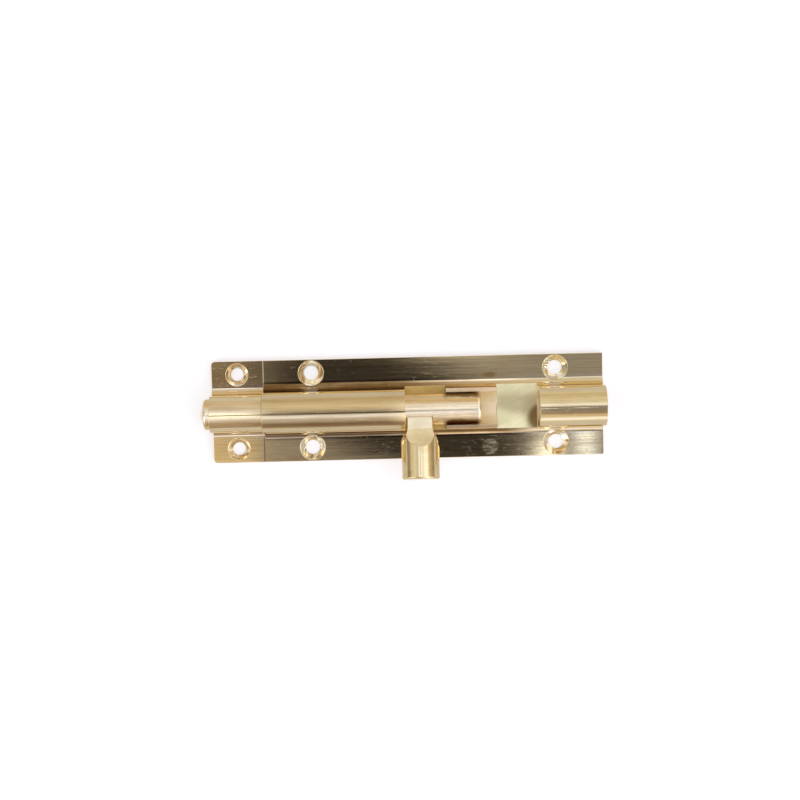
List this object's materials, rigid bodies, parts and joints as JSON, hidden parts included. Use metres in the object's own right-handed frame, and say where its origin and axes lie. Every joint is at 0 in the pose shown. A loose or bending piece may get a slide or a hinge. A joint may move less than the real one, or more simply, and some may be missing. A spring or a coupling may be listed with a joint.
{
  "type": "barrel bolt",
  "caption": "Surface-mounted brass barrel bolt: a round rod with a side knob slides and turns in an extruded barrel plate and enters a matching keeper.",
  "frame": {"origin": "middle of the body plate's flat back face, which lies on the door", "axes": "+X along the bolt, from the keeper towards the tail; +Z out of the door; the knob points to -Y at rest"},
  "size_m": [0.1182, 0.036, 0.0173],
  "materials": {
    "body_brass": "bright drawn brass with lengthwise grain",
    "keeper_brass": "bright drawn brass with lengthwise grain",
    "rod_brass": "polished turned brass",
    "knob_brass": "polished turned brass with a milled neck"
  },
  "bodies": {
    "body": {"barrel_body": "body_brass"},
    "keeper": {"keeper": "keeper_brass"},
    "rod": {"rod_front": "rod_brass"},
    "knob": {"rod_tail": "rod_brass", "knob": "knob_brass"}
  },
  "joints": [
    {"name": "bolt_slide", "type": "slide", "parent": "body", "child": "rod", "axis": [1, 0, 0], "range_m": [-0.0004, 0.031]},
    {"name": "knob_turn", "type": "hinge", "parent": "rod", "child": "knob", "pos_m": [0, 0, 0.0084], "axis": [-1, 0, 0], "range_deg": [-12.5, 172.5]},
    {"name": "keeper_slide", "type": "slide", "parent": "body", "child": "keeper", "axis": [-1, 0, 0], "range_m": [0, 0.022]}
  ]
}
